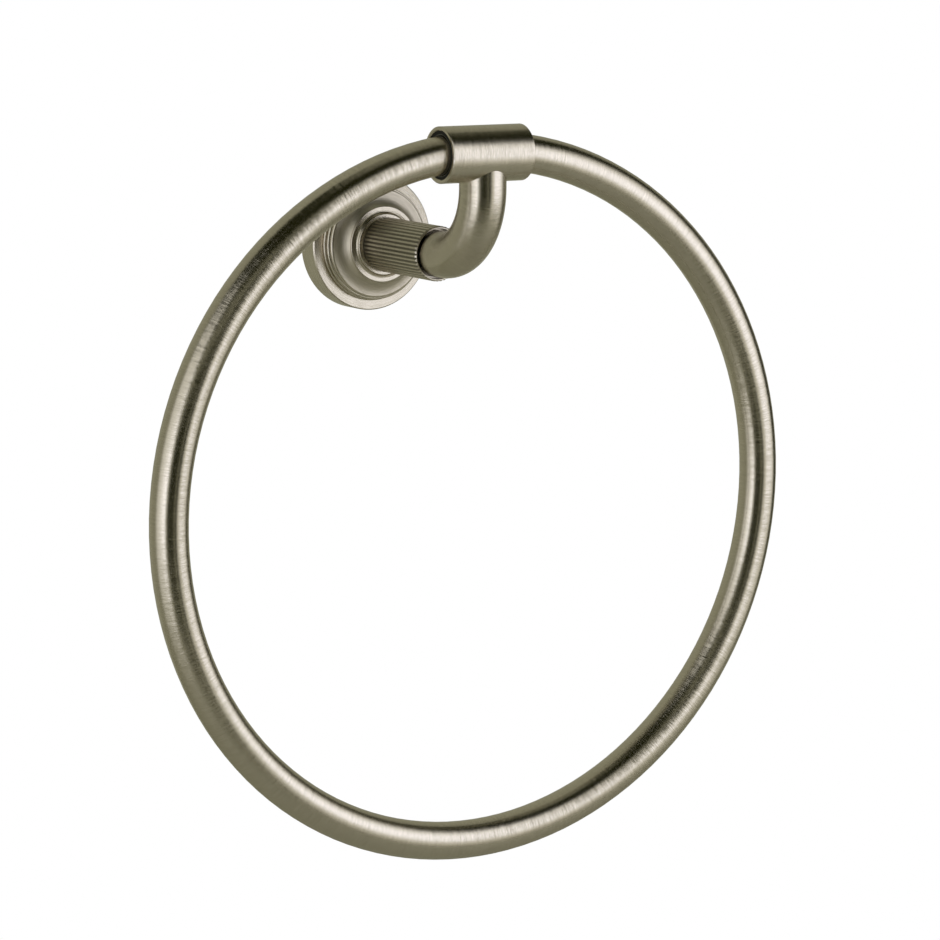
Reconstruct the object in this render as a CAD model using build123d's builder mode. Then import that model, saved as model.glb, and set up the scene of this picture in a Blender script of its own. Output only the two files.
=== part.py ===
from build123d import *
from math import asin, degrees
import os

# A wall towel ring. The wall is the plane y = 0 and the ring hangs in front of it, towards -Y.
# +X runs along the wall and +Z is up. The origin is the centre of the rosette's back face,
# on the axis of the neck. All sizes are millimetres.

# The ring and the sleeve that it hangs in
ring_outer_dia = 250.0
ring_tube_dia = 13.0
ring_standoff = 80.0          # wall to the ring's plane
ring_crown = 0.9              # how far the ring's crown stands above the sleeve's axis
liner_wall = 1.7              # ring's tube to the sleeve's bore, radial
sleeve_wall = 1.4
sleeve_length = 32.5
sleeve_offset = -1.2          # the sleeve's middle, to the left of the arm
sleeve_edge = 0.3
liner_recess = 0.5            # liner's end, behind the sleeve's end
liner_running_gap = 0.05      # liner in sleeve, radial
liner_ring_gap = 0.25         # ring in liner, radial
liner_edge = 0.2

# The bent arm
arm_dia = 16.0
arm_wall = 1.5
arm_bend_radius = 24.5
arm_rise = 36.5               # neck axis to the sleeve's axis
plug_length = 14.0

# The fluted neck
neck_wall = 1.55              # arm's surface to the crests of the flutes
neck_mouth_y = -52.6
flute_count = 42
flute_depth = 0.45
flute_cutter_dia = 0.8
flute_turn = -1.24            # degrees that the flutes are turned from the level line
neck_relief_depth = 0.55      # plain groove between the collar and the flutes
neck_relief_width = 0.9
mouth_gap = 0.7               # arm in the mouth's wider bore, radial
mouth_bore_depth = 3.5
mouth_edge = 0.15
neck_web = 6.0                # solid web that the bolt clamps
arm_socket_gap = 0.05         # arm in the neck's bore, radial

# The rosette, from the wall outwards
rosette_dia = 48.0
rim_depth = 8.4
rim_edge = 0.4
rim_face_width = 3.5
fine_bead_radius = 0.7
broad_bead_radius = 0.8
bead_gap = 0.25
bead_step = 0.4               # the broad bead sits this much further in
lip_radius = 0.9              # rounded lip at the cove's outer edge
cove_rise = 2.65
collar_height = 0.7
collar_edge = 0.25
collar_width = 1.5
collar_groove_depth = 0.3
seat_cove_width = 1.1         # small cove between the collar and the neck's seat
neck_seat_lip = 1.25          # seat's edge outside the neck
neck_seat_step = 1.0
spigot_length = 4.0
spigot_wall = 1.45            # neck's wall round the spigot, under the relief groove
spigot_gap = 0.05             # spigot in the neck, radial
spigot_end_gap = 0.2          # spigot's end to the neck's web

# What is behind the rosette
rim_wall = 3.9                # rosette's wall round the plate
plate_thickness = 5.0
plate_gap = 0.1               # plate in the rosette, radial
plate_edge = 0.4
slot_inset = 8.0              # slot's middle from the plate's edge
slot_width = 4.6
slot_length = 7.6
slot_pocket_width = 8.6
slot_floor = 2.0
washer_dia = 16.0
washer_thickness = 1.6
washer_gap = 1.5              # washer in the rosette's recess, radial
bolt_dia = 8.0
bolt_length = 30.0
bolt_head_dia = 13.0
bolt_head_height = 5.0
bolt_head_edge = 0.5
bolt_socket_width = 5.0
bolt_socket_depth = 3.0
bolt_clearance = 0.2          # bolt in plain holes, radial
head_gap = 0.4                # wall plate to the bolt's head
grub_dia = 4.0
grub_setback = 2.7            # grub screw's axis from the wall
grub_inset = 0.4              # grub screw's end below the rim
grub_socket_width = 2.0
grub_socket_depth = 1.6
grub_tip_dia = 1.0
plate_groove_depth = 1.3

# Places that follow from the sizes
tube_r = ring_tube_dia / 2
ring_r = ring_outer_dia / 2 - tube_r
sleeve_bore_r = tube_r + liner_wall
sleeve_r = sleeve_bore_r + sleeve_wall
arm_r = arm_dia / 2
neck_r = arm_r + neck_wall
flute_axis_r = neck_r - flute_depth + flute_cutter_dia / 2
rosette_r = rosette_dia / 2
plate_r = rosette_r - rim_wall - plate_gap
slot_spacing = 2 * (plate_r - slot_inset)
sleeve_z = arm_rise
ring_z = sleeve_z + ring_crown - ring_r
ring_centre = (sleeve_offset, -ring_standoff, ring_z)
sleeve_centre = (sleeve_offset, -ring_standoff, sleeve_z)

fine_bead_r = rosette_r - rim_face_width
fine_bead_root_r = fine_bead_r - fine_bead_radius
fine_bead_y = -rim_depth
broad_bead_r = fine_bead_r - bead_step
broad_bead_root_r = broad_bead_r - broad_bead_radius
broad_bead_foot_y = fine_bead_y - 2 * fine_bead_radius
broad_bead_y = broad_bead_foot_y - bead_gap
lip_foot_y = broad_bead_y - 2 * broad_bead_radius
lip_side_y = lip_foot_y - bead_gap
cove_r = broad_bead_root_r - lip_radius
cove_y = lip_side_y - lip_radius
seat_r = neck_r + neck_seat_lip
collar_gap_r = seat_r + seat_cove_width
collar_r = collar_gap_r + collar_width
collar_foot_y = cove_y - cove_rise
collar_y = collar_foot_y - collar_height
seat_y = collar_y - neck_seat_step

spigot_r = neck_r - neck_relief_depth - spigot_wall - spigot_gap
spigot_y = seat_y - spigot_length
neck_web_back_y = spigot_y - spigot_end_gap
neck_web_front_y = neck_web_back_y - neck_web
head_y = -(plate_thickness + head_gap)
washer_y = head_y - bolt_head_height
head_floor_y = washer_y - washer_thickness


# Rosette: one turned piece. Its front is a flat rim, two beads, a lip, a cove and two collars,
# and its back is hollow for the wall plate and the clamp bolt's head.
with BuildPart() as rosette:
    with BuildSketch(Plane.XY):
        with BuildLine():
            Polyline(
                (0, 0),
                (rosette_r, 0),
                (rosette_r, rim_edge - rim_depth),
                (rosette_r - rim_edge, -rim_depth),
                (fine_bead_root_r, fine_bead_y),
            )
            ThreePointArc(
                (fine_bead_root_r, fine_bead_y),
                (fine_bead_r, fine_bead_y - fine_bead_radius),
                (fine_bead_root_r, broad_bead_foot_y),
            )
            Polyline(
                (fine_bead_root_r, broad_bead_foot_y),
                (broad_bead_root_r, broad_bead_foot_y),
                (broad_bead_root_r, broad_bead_y),
            )
            ThreePointArc(
                (broad_bead_root_r, broad_bead_y),
                (broad_bead_r, broad_bead_y - broad_bead_radius),
                (broad_bead_root_r, lip_foot_y),
            )
            Line((broad_bead_root_r, lip_foot_y), (broad_bead_root_r, lip_side_y))
            TangentArc((broad_bead_root_r, lip_side_y), (cove_r, cove_y), tangent=(0, -1))
            TangentArc((cove_r, cove_y), (collar_r, collar_foot_y), tangent=(-1, 0))
            Polyline(
                (collar_r, collar_foot_y),
                (collar_r, collar_y + collar_edge),
                (collar_r - collar_edge, collar_y),
                (collar_gap_r, collar_y),
                (collar_gap_r, collar_y + collar_groove_depth),
            )
            TangentArc(
                (collar_gap_r, collar_y + collar_groove_depth),
                (seat_r, seat_y + collar_edge),
                tangent=(-1, 0),
            )
            Polyline(
                (seat_r, seat_y + collar_edge),
                (seat_r - collar_edge, seat_y),
                (spigot_r, seat_y),
                (spigot_r, spigot_y),
                (0, spigot_y),
                (0, 0),
            )
        make_face()
    revolve(axis=Axis.Y)
    with BuildSketch(Plane.XZ):
        Circle(plate_r + plate_gap)
    extrude(amount=plate_thickness, mode=Mode.SUBTRACT)
    with BuildSketch(Plane.XZ.offset(plate_thickness)):
        Circle(washer_dia / 2 + washer_gap)
    extrude(amount=-head_floor_y - plate_thickness, mode=Mode.SUBTRACT)
    with BuildSketch(Plane.XZ):
        Circle(bolt_dia / 2 + bolt_clearance)
    extrude(amount=-spigot_y, mode=Mode.SUBTRACT)
    with BuildSketch(Plane((0, -grub_setback, -rosette_r), z_dir=(0, 0, 1))):
        Circle(grub_dia / 2)
    extrude(amount=rosette_r - plate_r + grub_dia / 2, both=True, mode=Mode.SUBTRACT)
rosette.part.label = "rosette"

# Fluted neck: a ferrule with straight flutes, a plain lip at its mouth, and a web inside that
# the clamp bolt pulls against the rosette.
with BuildPart() as fluted_neck:
    with BuildSketch(Plane.XZ.offset(-seat_y)):
        Circle(neck_r)
        with PolarLocations(flute_axis_r, flute_count, start_angle=flute_turn):
            Circle(flute_cutter_dia / 2, mode=Mode.SUBTRACT)
    extrude(amount=seat_y - neck_mouth_y)
    with BuildSketch(Plane.XY):
        with BuildLine():
            Polyline(
                (neck_r - neck_relief_depth, seat_y),
                (neck_r, seat_y),
                (neck_r, seat_y - neck_relief_width - neck_relief_depth),
                (neck_r - neck_relief_depth, seat_y - neck_relief_width),
                close=True,
            )
        make_face()
        with BuildLine():
            Polyline(
                (neck_r - flute_depth, neck_mouth_y),
                (neck_r, neck_mouth_y),
                (neck_r, neck_mouth_y + flute_depth),
                close=True,
            )
        make_face()
    revolve(axis=Axis.Y, mode=Mode.SUBTRACT)
    with BuildSketch(Plane.XZ.offset(-seat_y)):
        Circle(spigot_r + spigot_gap)
    extrude(amount=seat_y - neck_web_back_y, mode=Mode.SUBTRACT)
    with BuildSketch(Plane.XZ.offset(-seat_y)):
        Circle(bolt_dia / 2 + bolt_clearance)
    extrude(amount=seat_y - neck_web_front_y, mode=Mode.SUBTRACT)
    with BuildSketch(Plane.XZ.offset(-neck_web_front_y)):
        Circle(arm_r + arm_socket_gap)
    extrude(amount=neck_web_front_y - neck_mouth_y, mode=Mode.SUBTRACT)
    with BuildSketch(Plane.XZ.offset(-neck_mouth_y - mouth_bore_depth)):
        Circle(arm_r + mouth_gap)
    extrude(amount=mouth_bore_depth, mode=Mode.SUBTRACT)
    mouth_circles = fluted_neck.edges().filter_by(GeomType.CIRCLE).group_by(Axis.Y)[0]
    chamfer(mouth_circles.sort_by(SortBy.RADIUS)[0], mouth_edge)
fluted_neck.part.label = "fluted_neck"

# Elbow arm: a round tube that leaves the neck level, bends up by a quarter turn and ends in a
# saddle that fits the underside of the sleeve.
with BuildPart() as elbow_arm:
    with BuildLine(Plane.YZ) as arm_path:
        level = Line((neck_web_front_y, 0), (arm_bend_radius - ring_standoff, 0))
        bend = JernArc(level @ 1, level % 1, radius=arm_bend_radius, arc_size=-90)
        Line(bend @ 1, (-ring_standoff, sleeve_z))
    with BuildSketch(Plane.XZ.offset(-neck_web_front_y)):
        Circle(arm_r)
        Circle(arm_r - arm_wall, mode=Mode.SUBTRACT)
    sweep(path=arm_path.line)
    with BuildSketch(Plane((sleeve_offset - sleeve_length / 2, -ring_standoff, sleeve_z), z_dir=(1, 0, 0))):
        Circle(sleeve_r)
    extrude(amount=sleeve_length, mode=Mode.SUBTRACT)
elbow_arm.part.label = "elbow_arm"

# Arm plug: a threaded plug brazed into the arm's end.
with BuildPart() as arm_plug:
    with BuildSketch(Plane.XZ.offset(-neck_web_front_y)):
        Circle(arm_r - arm_wall)
        Circle(bolt_dia / 2, mode=Mode.SUBTRACT)
    extrude(amount=plug_length)
arm_plug.part.label = "arm_plug"

# Clamp bolt and washer: they hold arm, neck and rosette together from behind.
with BuildPart() as clamp_bolt:
    with BuildSketch(Plane.XZ.offset(-head_y)):
        Circle(bolt_head_dia / 2)
    extrude(amount=bolt_head_height)
    chamfer(clamp_bolt.edges().filter_by(GeomType.CIRCLE).sort_by(Axis.Y)[-1], bolt_head_edge)
    with BuildSketch(Plane.XZ.offset(-washer_y)):
        Circle(bolt_dia / 2)
    extrude(amount=bolt_length)
    chamfer(clamp_bolt.edges().filter_by(GeomType.CIRCLE).sort_by(Axis.Y)[0], bolt_head_edge)
    with BuildSketch(Plane.XZ.offset(-head_y)):
        RegularPolygon(bolt_socket_width / 2, 6, major_radius=False)
    extrude(amount=bolt_socket_depth, mode=Mode.SUBTRACT)
clamp_bolt.part.label = "clamp_bolt"

with BuildPart() as clamp_washer:
    with BuildSketch(Plane.XZ.offset(-washer_y)):
        Circle(washer_dia / 2)
        Circle(bolt_dia / 2 + bolt_clearance, mode=Mode.SUBTRACT)
    extrude(amount=washer_thickness)
clamp_washer.part.label = "clamp_washer"

# Wall plate: a steel disc for two wall screws, with sunk slots and a groove round its edge
# for the grub screw's point.
with BuildPart() as wall_plate:
    with BuildSketch(Plane.XY):
        with BuildLine():
            Polyline(
                (0, 0),
                (plate_r - plate_edge, 0),
                (plate_r, -plate_edge),
                (plate_r, plate_groove_depth - grub_setback),
                (plate_r - plate_groove_depth, -grub_setback),
                (plate_r, -grub_setback - plate_groove_depth),
                (plate_r, plate_edge - plate_thickness),
                (plate_r - plate_edge, -plate_thickness),
                (0, -plate_thickness),
                close=True,
            )
        make_face()
    revolve(axis=Axis.Y)
    with BuildSketch(Plane.XZ):
        with GridLocations(slot_spacing, 0, 2, 1):
            SlotOverall(slot_length, slot_width)
    extrude(amount=plate_thickness, mode=Mode.SUBTRACT)
    with BuildSketch(Plane.XZ.offset(slot_floor)):
        with GridLocations(slot_spacing, 0, 2, 1):
            SlotOverall(slot_length - slot_width + slot_pocket_width, slot_pocket_width)
    extrude(amount=plate_thickness - slot_floor, mode=Mode.SUBTRACT)
wall_plate.part.label = "wall_plate"

# Grub screw: in the underside of the rim, its point in the plate's groove.
grub_point_z = -(plate_r - plate_groove_depth)
grub_end_z = grub_inset - rosette_r
with BuildPart() as grub_screw:
    with BuildSketch(Plane.YZ):
        with BuildLine():
            Polyline(
                (-grub_setback, grub_end_z),
                (-grub_setback + grub_dia / 2, grub_end_z),
                (-grub_setback + grub_dia / 2, grub_point_z - grub_dia / 2),
                (-grub_setback + grub_tip_dia / 2, grub_point_z - grub_tip_dia / 2),
                (-grub_setback, grub_point_z - grub_tip_dia / 2),
                close=True,
            )
        make_face()
    revolve(axis=Axis((0, -grub_setback, 0), (0, 0, 1)))
    with BuildSketch(Plane((0, -grub_setback, grub_end_z), z_dir=(0, 0, 1))):
        RegularPolygon(grub_socket_width / 2, 6, major_radius=False)
    extrude(amount=grub_socket_depth, mode=Mode.SUBTRACT)
grub_screw.part.label = "grub_screw"

# Ring sleeve: a thick tube across the top of the arm, fine chamfers at its ends.
with BuildPart() as ring_sleeve:
    with BuildSketch(Plane(sleeve_centre, z_dir=(1, 0, 0))):
        Circle(sleeve_r)
        Circle(sleeve_bore_r, mode=Mode.SUBTRACT)
    extrude(amount=sleeve_length / 2, both=True)
    chamfer(ring_sleeve.edges().filter_by(GeomType.CIRCLE), sleeve_edge)
ring_sleeve.part.label = "ring_sleeve"

# Sleeve liner: black plastic. Its bore follows the ring's curve, so it turns in the sleeve
# when the ring swings, and the ring slides round through it.
liner_length = sleeve_length - 2 * liner_recess
with BuildPart() as sleeve_liner:
    with BuildSketch(Plane(sleeve_centre, z_dir=(1, 0, 0))):
        Circle(sleeve_bore_r - liner_running_gap)
    extrude(amount=liner_length / 2, both=True)
    with BuildSketch(Plane(ring_centre)):
        with Locations((ring_r, 0)):
            Circle(tube_r + liner_ring_gap)
    revolve(axis=Axis(ring_centre, (0, 1, 0)), mode=Mode.SUBTRACT)
    liner_ends = sleeve_liner.faces().filter_by(GeomType.PLANE)
    chamfer(liner_ends.edges().filter_by(GeomType.CIRCLE, reverse=True), liner_edge)
sleeve_liner.part.label = "sleeve_liner"

# Towel ring: one closed round tube.
with BuildPart() as towel_ring:
    with BuildSketch(Plane(ring_centre)):
        with Locations((ring_r, 0)):
            Circle(tube_r)
    revolve(axis=Axis(ring_centre, (0, 1, 0)))
towel_ring.part.label = "towel_ring"

pieces = [
    rosette.part,
    fluted_neck.part,
    elbow_arm.part,
    arm_plug.part,
    clamp_bolt.part,
    clamp_washer.part,
    wall_plate.part,
    grub_screw.part,
    ring_sleeve.part,
    sleeve_liner.part,
    towel_ring.part,
]
os.makedirs("parts", exist_ok=True)
for piece in pieces:
    export_step(piece, f"parts/{piece.label}.step")

# How far the ring swings from hanging straight down before it meets the wall
swing_reach = 2 * ring_r - ring_crown
wall_angle = degrees(asin((ring_standoff - tube_r) / swing_reach))
print(f"ring centre {ring_centre}, sleeve centre {sleeve_centre}, wall angle {wall_angle:.2f}")
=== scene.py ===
# %% [markdown]
# # A wall towel ring in brushed nickel
# The imported model already has every solid in its true place, in metres: a stepped rosette, a
# fluted neck, a bent arm, a sleeve with a black liner, and the ring that hangs in it. This
# lesson dresses those solids and never moves them. It never moves them, because the joints
# were tested on them.
# %% Load the frame
import math

import bmesh
import bpy
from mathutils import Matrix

MM = 0.001

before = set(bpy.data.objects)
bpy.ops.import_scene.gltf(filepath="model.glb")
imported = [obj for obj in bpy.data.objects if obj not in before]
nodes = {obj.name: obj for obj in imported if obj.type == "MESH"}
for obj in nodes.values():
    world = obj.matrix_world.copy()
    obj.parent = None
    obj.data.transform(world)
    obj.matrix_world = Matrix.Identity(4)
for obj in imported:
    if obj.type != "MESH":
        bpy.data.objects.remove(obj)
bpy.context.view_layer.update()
print("nodes:", sorted(nodes))


# %% [markdown]
# ## Shader maths as plain expressions
# A brushed finish is mostly arithmetic on a point's place: how far along the tube is it, and
# which way does the tube run there? Wiring that by hand takes dozens of nodes. One small class
# holds a socket and gives it the arithmetic signs, so that an expression adds its own nodes.
# %% A socket that does arithmetic
class Wire:
    """An output socket that can be used in an expression."""

    def __init__(self, shop, socket):
        self.shop = shop
        self.socket = socket

    def math(self, operation, *others):
        values = dict(enumerate((self, *others)))
        return self.shop.node("ShaderNodeMath", {"operation": operation}, values)

    def __add__(self, other):
        return self.math("ADD", other)

    def __sub__(self, other):
        return self.math("SUBTRACT", other)

    def __mul__(self, other):
        return self.math("MULTIPLY", other)

    def __truediv__(self, other):
        return self.math("DIVIDE", other)

    def __rsub__(self, other):
        return self.shop.node("ShaderNodeMath", {"operation": "SUBTRACT"}, {0: other, 1: self})

    __radd__ = __add__
    __rmul__ = __mul__


# %% [markdown]
# The same idea serves the nodes that aren't arithmetic. A shop belongs to one material or
# world. Its main method takes a node's type, its settings and its sockets, in that order,
# because a setting such as a Math node's operation decides what the sockets mean.
# %% A workshop for one node tree
class Shop:
    """Adds nodes to one node tree."""

    def __init__(self, tree):
        self.tree = tree
        self.tree.nodes.clear()

    def node(self, kind, settings=None, sockets=None, output=0):
        made = self.tree.nodes.new(kind)
        for name, value in (settings or {}).items():
            setattr(made, name, value)
        for name, value in (sockets or {}).items():
            if isinstance(value, Wire):
                self.tree.links.new(value.socket, made.inputs[name])
            else:
                made.inputs[name].default_value = value
        return Wire(self, made.outputs[output]) if made.outputs else None

    def coordinate(self, name):
        """Object for a point's place in the object's frame, Normal for its normal there."""
        return self.node("ShaderNodeTexCoord", output=name)

    def separate(self, vector):
        """The x, y and z of a vector."""
        first = self.node("ShaderNodeSeparateXYZ", sockets={0: vector})
        return [Wire(self, socket) for socket in first.socket.node.outputs]

    def combine(self, x=0.0, y=0.0, z=0.0):
        return self.node("ShaderNodeCombineXYZ", sockets={0: x, 1: y, 2: z})

    def vector(self, operation, *values, output=0):
        settings = {"operation": operation}
        return self.node("ShaderNodeVectorMath", settings, dict(enumerate(values)), output)

    def scaled(self, vector, factor):
        sockets = {0: vector, "Scale": factor}
        return self.node("ShaderNodeVectorMath", {"operation": "SCALE"}, sockets)

    def step(self, value, start, end):
        """0 at start, 1 at end, with a soft rise between them."""
        settings = {"interpolation_type": "SMOOTHSTEP"}
        return self.node("ShaderNodeMapRange", settings, {0: value, 1: start, 2: end})

    def mix(self, factor, first, second):
        """A colour between two colours. The Mix node keeps its colour sockets at 6 and 7."""
        sockets = {0: factor, 6: first, 7: second}
        return self.node("ShaderNodeMix", {"data_type": "RGBA"}, sockets, output=2)

    def cover(self, shader):
        """Make the shader the material's surface."""
        self.node("ShaderNodeOutputMaterial", sockets={"Surface": shader})


# %% [markdown]
# Two more helpers start a material and tint a colour. A colour socket wants a fourth number,
# which plays no part here and is always 1.
# %% Start a material
def new_material(name):
    """A material with an empty node tree, and the shop that fills it."""
    material = bpy.data.materials.new(name)
    material.use_nodes = True
    return material, Shop(material.node_tree)


def tinted(colour, factor):
    """A colour made lighter or darker, for a colour socket."""
    return tuple(factor * part for part in colour) + (1.0,)


print("shader helpers ready")


# %% [markdown]
# ## Where a point lies on a brushed piece
# Brushing leaves thousands of fine lines, and each piece was brushed its own way. The tubes
# were brushed round and round, and the rosette was brushed while it turned on a lathe. For the
# finish we need two things at every point: the way **across** the lines, in which they scatter
# light, and how far one has gone across them, which tells one line from the next.
# %% Lines round a turned piece
ring_centre = (-1.2 * MM, -80.0 * MM, -81.1 * MM)
sleeve_centre = (-1.2 * MM, -80.0 * MM, 36.5 * MM)
neck_centre = (0.0, 0.0, 0.0)
along_the_wall = (1.0, 0.0, 0.0)
into_the_wall = (0.0, 1.0, 0.0)


def turned_about(centre, axis):
    """Lines that run in circles about an axis, on the sides and on the flat faces alike."""

    def lay(shop, point, normal):
        place = shop.vector("SUBTRACT", point, centre)
        along = shop.vector("DOT_PRODUCT", place, axis, output=1)
        outward = shop.vector("SUBTRACT", place, shop.scaled(axis, along))
        radius = shop.vector("LENGTH", outward, output=1)
        circle = shop.vector("CROSS_PRODUCT", axis, outward)
        across = shop.vector("NORMALIZE", shop.vector("CROSS_PRODUCT", normal, circle))
        return across, along + radius

    return lay


# %% [markdown]
# The ring's tube runs in a circle, so the way across its lines is the way the tube runs. A
# point's angle about the ring's centre gives both. The angle jumps at one place, and turning
# it by half a turn puts that place at the top, inside the sleeve, where nobody sees it.
# %% Lines round the ring's tube
ring_radius = 118.5 * MM


def round_the_ring(shop, point, normal):
    x, _, z = shop.separate(shop.vector("SUBTRACT", point, ring_centre))
    angle = x.math("ARCTAN2", 0.0 - z)
    across = shop.vector("NORMALIZE", shop.combine(z, 0.0, 0.0 - x))
    return across, angle * ring_radius


# %% [markdown]
# The arm's tube runs level, then round a quarter turn, then up. Its angle about the bend's
# centre, held between 0 and a quarter turn, gives the way it runs in all three stretches.
# %% Lines round the bent arm
bend_centre = (0.0, -55.5 * MM, 24.5 * MM)
bend_radius = 24.5 * MM
quarter_turn = math.pi / 2


def round_the_arm(shop, point, normal):
    _, y, z = shop.separate(shop.vector("SUBTRACT", point, bend_centre))
    angle = (0.0 - y).math("ARCTAN2", 0.0 - z)
    angle = shop.node("ShaderNodeClamp", sockets={0: angle, 1: 0.0, 2: quarter_turn})
    across = shop.combine(0.0, 0.0 - angle.math("COSINE"), angle.math("SINE"))
    way = angle * bend_radius + z.math("MAXIMUM", 0.0) - y.math("MAXIMUM", 0.0)
    return across, way


print("three ways of brushing")


# %% [markdown]
# ## The brushed finish
# A brushed metal scatters light widely across its lines and hardly at all along them. That is
# why the dark and bright bands along these tubes keep crisp edges. A normal that leans to and
# fro across the lines, from one fine line to the next, does just that at any distance. The
# noise has four dimensions: three follow the surface slowly, so that a line ends somewhere,
# and the fourth runs fast across the lines.
# %% Long fine lines
def lines(shop, point, way, width, length, detail=3.0):
    """Noise from 0 to 1 in long fine lines of a width and a length in metres."""
    sockets = {
        "Vector": shop.scaled(point, 1 / length),
        "W": way / width,
        "Scale": 1.0,
        "Detail": detail,
        "Roughness": 0.6,
    }
    return shop.node("ShaderNodeTexNoise", {"noise_dimensions": "4D"}, sockets)


# %% [markdown]
# Three sorts of line lie over each other. The fine ones can't be told apart and only spread
# the light. The broad ones are what the eye reads as brushing. The hairlines are scratches
# that are a little lighter or darker than the metal, and they show where nothing but plain
# cloth is reflected. Noise stays near its middle value, so its contrast is set rather high.
# %% A brushed metal
middle = 0.5
fine_lines = {"width": 0.012 * MM, "length": 1.5 * MM, "detail": 1.0}
broad_lines = {"width": 0.3 * MM, "length": 6 * MM}
hairlines = {"width": 0.13 * MM, "length": 4 * MM}
hairline_contrast = 0.38
gloss_contrast = 0.1
# How dark painted shade makes the metal, as a share of its colour.
painted_shade = 0.06


def brushed_metal(name, colour, lay, scatter, roughness, shade=None, satin=None, coarse=0.25):
    """A metal brushed the way that lay says.

    Scatter and coarse are how far its fine and broad lines lean. Shade is a mask of painted
    shade: 1 on plain metal and 0 where the colour is painted dark. Satin is a roughness that
    is added.
    """
    material, shop = new_material(name)
    point, normal = shop.coordinate("Object"), shop.coordinate("Normal")
    across, way = lay(shop, point, normal)

    fine = lines(shop, point, way, **fine_lines)
    broad = lines(shop, point, way, **broad_lines)
    lean = (fine - middle) * scatter + (broad - middle) * coarse
    bent = shop.vector("ADD", normal, shop.scaled(across, lean))
    settings = {"vector_type": "NORMAL", "convert_from": "OBJECT", "convert_to": "WORLD"}
    bent = shop.node("ShaderNodeVectorTransform", settings, {0: bent})

    hair = lines(shop, point, way, **hairlines)
    darker, lighter = 1.0 - hairline_contrast, 1.0 + hairline_contrast
    metal = shop.mix(hair, tinted(colour, darker), tinted(colour, lighter))
    if shade:
        # Painted shade: where the shade mask is 0, the colour is painted near black.
        metal = shop.mix(shade(shop, point, normal), tinted(colour, painted_shade), metal)
    gloss = roughness + (broad - middle) * gloss_contrast
    if satin:
        gloss = gloss + satin(shop, point)
    sockets = {
        "Base Color": metal,
        "Roughness": gloss,
        "Metallic": 1.0,
        "Normal": shop.vector("NORMALIZE", bent),
    }
    shop.cover(shop.node("ShaderNodeBsdfPrincipled", sockets=sockets))
    return material


def dress(node, material):
    for slot in nodes[node].material_slots:
        slot.material = material
    print(node, "is", material.name)


# %% [markdown]
# ## Nickel on the tubes
# Nickel is a warm grey. The ring, the arm and the sleeve come from tube and are brushed the
# most, so light spreads far along each tube and the bands fade softly round a bend. The
# ring's lines look coarser than the others, as a coarser belt could have left them. The colour
# was chosen together with the light further down, so it isn't a measured one.
# %% The ring, the arm and the sleeve
nickel = (0.62, 0.57, 0.475)
tube_brushing = {"scatter": 1.0, "roughness": 0.21}
ring_coarse = 0.45

sleeve_lay = turned_about(sleeve_centre, along_the_wall)
ring_nickel = brushed_metal(
    "nickel_ring", nickel, round_the_ring, coarse=ring_coarse, **tube_brushing
)
dress("towel_ring", ring_nickel)
dress("elbow_arm", brushed_metal("nickel_arm", nickel, round_the_arm, **tube_brushing))
dress("ring_sleeve", brushed_metal("nickel_sleeve", nickel, sleeve_lay, **tube_brushing))


# %% [markdown]
# ## Nickel on the turned pieces
# The rosette, the neck and the ring itself are round about a line that runs into the wall, so
# a point's distance from such a line tells which part of the piece it is on.
# %% The distance from a line into the wall
def from_the_axis(shop, place):
    x, _, z = shop.separate(place)
    return (x * x + z * z).math("SQRT")


# %% [markdown]
# The cove of the rosette is hollow, so the brush only grazed it. It stays more of a satin than
# the flat rim and the beads, and its highlights are wide and dim.
# %% The rosette and its satin cove
cove_inside = 13.4 * MM
cove_outside = 18.4 * MM
cove_edge = 0.4 * MM
cove_roughness = 0.16
rosette_brushing = {"scatter": 0.7, "roughness": 0.27}


def cove(shop, point):
    """The extra roughness of the cove, which is 0 on the rest of the rosette."""
    radius = from_the_axis(shop, point)
    inner = shop.step(radius, cove_inside - cove_edge, cove_inside + cove_edge)
    outer = shop.step(radius, cove_outside + cove_edge, cove_outside - cove_edge)
    return inner * outer * cove_roughness


turned_lay = turned_about(neck_centre, into_the_wall)
rosette_nickel = brushed_metal(
    "nickel_rosette", nickel, turned_lay, satin=cove, **rosette_brushing
)
dress("rosette", rosette_nickel)


# %% [markdown]
# Painted shade: the flutes are painted dark at the bottom, darker in the first 4 mm next to
# the rosette's collar, and nearly black inside the neck's mouth. Grime or thin plating could
# do that, and so could mere shadow, which one picture can't settle. The shade is painted into
# the colour, so it stays under any light.
# %% The fluted neck
neck_radius = 9.55 * MM
flute_bottom = 9.1 * MM
mouth_radius = 8.75 * MM
crest_edge = 0.05 * MM
flute_start = -17.6 * MM
collar_shade_end = flute_start - 4 * MM
in_a_flute = 0.28
at_the_collar = 0.2
side_facing = 0.4
end_facing = 0.7
neck_brushing = {"scatter": 0.25, "roughness": 0.3}


def flute_crests(shop, point, normal):
    """Painted shade: 1 on the crests and the two flat ends, little in a flute, 0 inside the
    mouth.
    """
    _, y, _ = shop.separate(point)
    _, facing, _ = shop.separate(normal)
    radius = from_the_axis(shop, point)
    # Painted shade in the flutes, next to the collar and inside the mouth.
    away = shop.step(y, flute_start, collar_shade_end)
    unshaded = shop.step(radius, flute_bottom, neck_radius - crest_edge)
    unshaded = (1 - in_a_flute) * unshaded * (at_the_collar + (1 - at_the_collar) * away)
    unshaded = (in_a_flute + unshaded) * shop.step(radius, mouth_radius, flute_bottom)
    return unshaded.math("MAXIMUM", shop.step(facing.math("ABSOLUTE"), side_facing, end_facing))


neck_nickel = brushed_metal(
    "nickel_neck", nickel, turned_lay, shade=flute_crests, **neck_brushing
)
dress("fluted_neck", neck_nickel)


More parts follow.
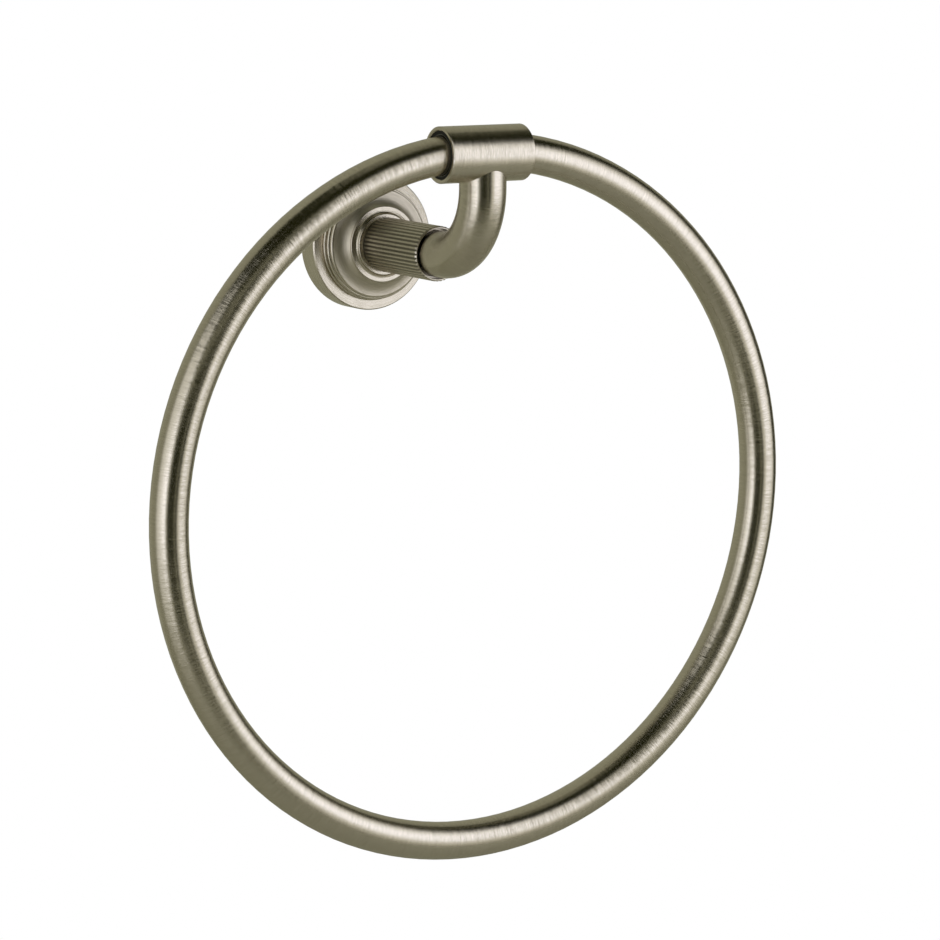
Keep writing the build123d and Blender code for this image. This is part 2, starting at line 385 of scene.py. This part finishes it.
# %% [markdown]
# ## The black liner and the hidden parts
# The edge of the liner's bore is painted grey: a painted highlight, the thin light line where
# that edge catches the light. The bore follows the ring's curve, so the edge is found by its
# distance from the middle of the ring's tube.
# %% The liner's painted edge highlight
bore_radius = 6.75 * MM
highlight_grey = (0.16, 0.16, 0.13, 1.0)
highlight_until = bore_radius + 0.18 * MM
black_from = bore_radius + 0.42 * MM


def bore_edge(shop, point):
    """Painted highlight: 1 on the edge of the liner's bore, 0 further out."""
    place = shop.vector("SUBTRACT", point, ring_centre)
    _, y, _ = shop.separate(place)
    from_curve = from_the_axis(shop, place) - ring_radius
    distance = (from_curve * from_curve + y * y).math("SQRT")
    return shop.step(distance, black_from, highlight_until)


# %% [markdown]
# The liner is moulded nylon, which is black and a little shiny, with the fine grain of its
# mould. The plug, the bolt and the wall plate can't be seen on the wall, but someone who turns
# the model over will look for bare brass and zinc there. One helper makes all three, because
# they differ only in colour, in gloss and in being metal or not.
# %% Plain finishes
grain_scale = 1500.0
grain_depth = 0.02 * MM
grain_dark, grain_light = 0.85, 1.1


def plain(name, colour, roughness, metallic, edge_highlight=None, specular=0.5):
    material, shop = new_material(name)
    point = shop.coordinate("Object")
    sockets = {"Vector": point, "Scale": grain_scale, "Detail": 4.0}
    grain = shop.node("ShaderNodeTexNoise", sockets=sockets)
    sockets = {"Height": grain, "Distance": grain_depth, "Strength": 0.5}
    bump = shop.node("ShaderNodeBump", sockets=sockets)
    surface = shop.mix(grain, tinted(colour, grain_dark), tinted(colour, grain_light))
    # Painted highlight: a grey line on the bore's edge where the mask is 1.
    if edge_highlight:
        surface = shop.mix(edge_highlight(shop, point), surface, highlight_grey)
    sockets = {
        "Base Color": surface,
        "Specular IOR Level": specular,
        "Roughness": roughness + (grain - middle) * gloss_contrast,
        "Metallic": metallic,
        "Normal": bump,
    }
    shop.cover(shop.node("ShaderNodeBsdfPrincipled", sockets=sockets))
    return material


# %% [markdown]
# The model's record gives this nylon a colour about three times as light, and its mirroring is
# turned down as well. The nylon is black of itself, and the extra darkness is painted shade,
# so that the gap round the ring reads as black.
# %% Nylon, brass and zinc
nylon = (0.006, 0.006, 0.005)
brass = (0.78, 0.57, 0.27)
zinc = (0.62, 0.63, 0.64)

dress("sleeve_liner", plain("black_nylon", nylon, 0.45, 0.0, edge_highlight=bore_edge, specular=0.2))
dress("arm_plug", plain("turned_brass", brass, 0.3, 1.0))
zinc_steel = plain("zinc_steel", zinc, 0.35, 1.0)
for node in ("clamp_bolt", "clamp_washer", "wall_plate", "grub_screw"):
    dress(node, zinc_steel)


# %% [markdown]
# ## A light tent
# Metal shows what stands around it, so a photographer hangs a tent of cloth round such a piece
# and puts two soft lamps behind the cloth. The dark bands on the tubes are the gaps between
# the lamps, and the tent's open top. Our tent is a sphere a little over a metre in radius. A
# point's azimuth and elevation say what part of the tent it is, and each part is a box in
# those two angles with soft edges. The camera doesn't see the tent, only the metal does. The
# numbers began as a least-squares fit to the bands on the metal in one picture, and were then
# adjusted. They are a guess at that picture's light, made together with the nickel's
# colour, and they came out dim: a plain grey of 0.5 renders as 0.2 in the tent. Under a plain
# light the same nickel looks much lighter.
# %% The parts of the tent
tent_radius = 1.05
cloth = (0.275, 0.272, 0.205, 1.0)
back_cloth = (0.33, 0.33, 0.25, 1.0)
unlit = (0.012, 0.013, 0.002, 1.0)
left_edge = (0.83, 0.83, 0.79, 1.0)
left_middle = (2.05, 2.08, 2.3, 1.0)
right_edge = (0.77, 0.76, 0.68, 1.0)
right_middle = (1.6, 1.62, 1.8, 1.0)

# name: azimuth from and to, elevation from and to, softness of those four edges, colour
tent_parts = {
    "open top": ((-106, 5), (28, 98), (7, 4, 5, 4), unlit),
    "frame of the right lamp": ((-4, 104), (-24, 66), (3, 9, 11, 8), unlit),
    "gap between the lamps": ((-41, -8), (-28, 14), (2, 2, 11, 3), unlit),
    "left lamp": ((-100, -52), (-32, 38), (11, 5, 11, 3), left_edge),
    "right lamp": ((11, 76), (-28, 33), (6, 11, 11, 9), right_edge),
    "middle of the left lamp": ((-73, -50), (-17, 3), (20, 7, 2, 18), left_middle),
    "middle of the right lamp": ((24, 62), (-13, 26), (5, 18, 10, 18), right_middle),
}


# %% [markdown]
# Each part is laid over the ones before it, as cloth is laid over cloth. Azimuth 0 is straight
# out from the wall, and the cloth changes softly to the back cloth on the way to the wall.
# %% The colour of the tent
back_starts, back_full = 105, 150


def tent_colour(shop):
    toward = shop.vector("NORMALIZE", shop.coordinate("Object"))
    east, north, height = shop.separate(toward)
    azimuth = east.math("ARCTAN2", 0.0 - north) * math.degrees(1)
    elevation = height.math("ARCSINE") * math.degrees(1)

    behind = shop.step(azimuth.math("ABSOLUTE"), back_starts, back_full)
    colour = shop.mix(behind, cloth, back_cloth)
    for (left, right), (low, high), soft, shade in tent_parts.values():
        mask = shop.step(azimuth, left - soft[0], left + soft[0])
        mask = mask * shop.step(azimuth, right + soft[1], right - soft[1])
        mask = mask * shop.step(elevation, low - soft[2], low + soft[2])
        mask = mask * shop.step(elevation, high + soft[3], high - soft[3])
        colour = shop.mix(mask, colour, shade)
    return colour


# %% [markdown]
# The tent glows, and the rays that leave the metal meet it wherever they go. Rays needn't be
# aimed at it as they are at a small lamp, which for so large a sphere would only take longer.
# %% Hang the tent
def staged(name, shape, material):
    """A thing that stands round the object and isn't part of it."""
    mesh = bpy.data.meshes.new(name)
    shape.to_mesh(mesh)
    shape.free()
    mesh.materials.append(material)
    thing = bpy.data.objects.new(name, mesh)
    bpy.context.scene.collection.objects.link(thing)
    return thing


tent_cloth, shop = new_material("tent_cloth")
sockets = {"Color": tent_colour(shop), "Strength": 1.0}
shop.cover(shop.node("ShaderNodeEmission", sockets=sockets))
tent_cloth.cycles.emission_sampling = "NONE"
sphere = bmesh.new()
bmesh.ops.create_icosphere(sphere, subdivisions=5, radius=tent_radius)
tent = staged("tent", sphere, tent_cloth)
tent.visible_camera = False
print("tent of", len(tent_parts), "parts")


# %% [markdown]
# ## White behind, and a pale floor
# The world is white where the camera looks straight at it, and cloth to every other ray. The
# floor is a disc inside the tent, so far below the ring that no shadow shows on it. It is pale
# by a glow that only the camera sees, and the metal's undersides mirror a darker, warmer floor
# than the one in the picture. Adding Is Glossy Ray and Is Transmission Ray to both masks would
# be more truthful, and here it would make the undersides about twice as bright.
# %% The world
world = bpy.data.worlds.new("studio")
bpy.context.scene.world = world
world.use_nodes = True
shop = Shop(world.node_tree)
camera_ray = shop.node("ShaderNodeLightPath")
backdrop = shop.mix(camera_ray, cloth, (1.0, 1.0, 1.0, 1.0))
background = shop.node("ShaderNodeBackground", sockets={"Color": backdrop, "Strength": 1.0})
shop.node("ShaderNodeOutputWorld", sockets={"Surface": background})
print("white world")

# %% [markdown]
# The first output of the Light Path node is 1 for rays that come from the camera and 0 for
# all others. That is what the world mixes by, and what the floor's glow takes as its strength.
# %% The floor
floor_radius = 0.85
floor_drop = 0.6
floor_cloth = (0.67, 0.665, 0.565, 1.0)
floor_glow = (0.56, 0.56, 0.62, 1.0)

floor_finish, shop = new_material("floor")
diffuse = shop.node("ShaderNodeBsdfDiffuse", sockets={"Color": floor_cloth})
seen = shop.node("ShaderNodeLightPath")
glow = shop.node("ShaderNodeEmission", sockets={"Color": floor_glow, "Strength": seen})
shop.cover(shop.node("ShaderNodeAddShader", sockets={0: diffuse, 1: glow}))
disc = bmesh.new()
bmesh.ops.create_circle(disc, cap_ends=True, segments=96, radius=floor_radius)
bmesh.ops.translate(disc, verts=disc.verts, vec=(0.0, 0.0, -floor_drop))
staged("floor", disc, floor_finish)
print("floor", floor_drop, "m down")

# %% [markdown]
# ## The camera
# The view is from the left and slightly above, from 1.4 m away through a long lens, so the
# ring's far side is only a little smaller than its near side. The place and the angles were
# found by fitting the outlines of the ring, the sleeve and the rosette.
# %% Stand where the photographer stood
camera_place = (-0.74552, -1.24518, 0.14862)
camera_angles = (80.9688, -0.5993, -32.3808)

camera_data = bpy.data.cameras.new("camera")
camera_data.sensor_width = 36.0
camera_data.lens = 157.746
camera = bpy.data.objects.new("camera", camera_data)
camera.location = camera_place
camera.rotation_euler = [math.radians(angle) for angle in camera_angles]
bpy.context.scene.collection.objects.link(camera)
bpy.context.scene.camera = camera
bpy.context.scene.view_settings.view_transform = "Standard"
print("camera", camera_data.lens, "mm")
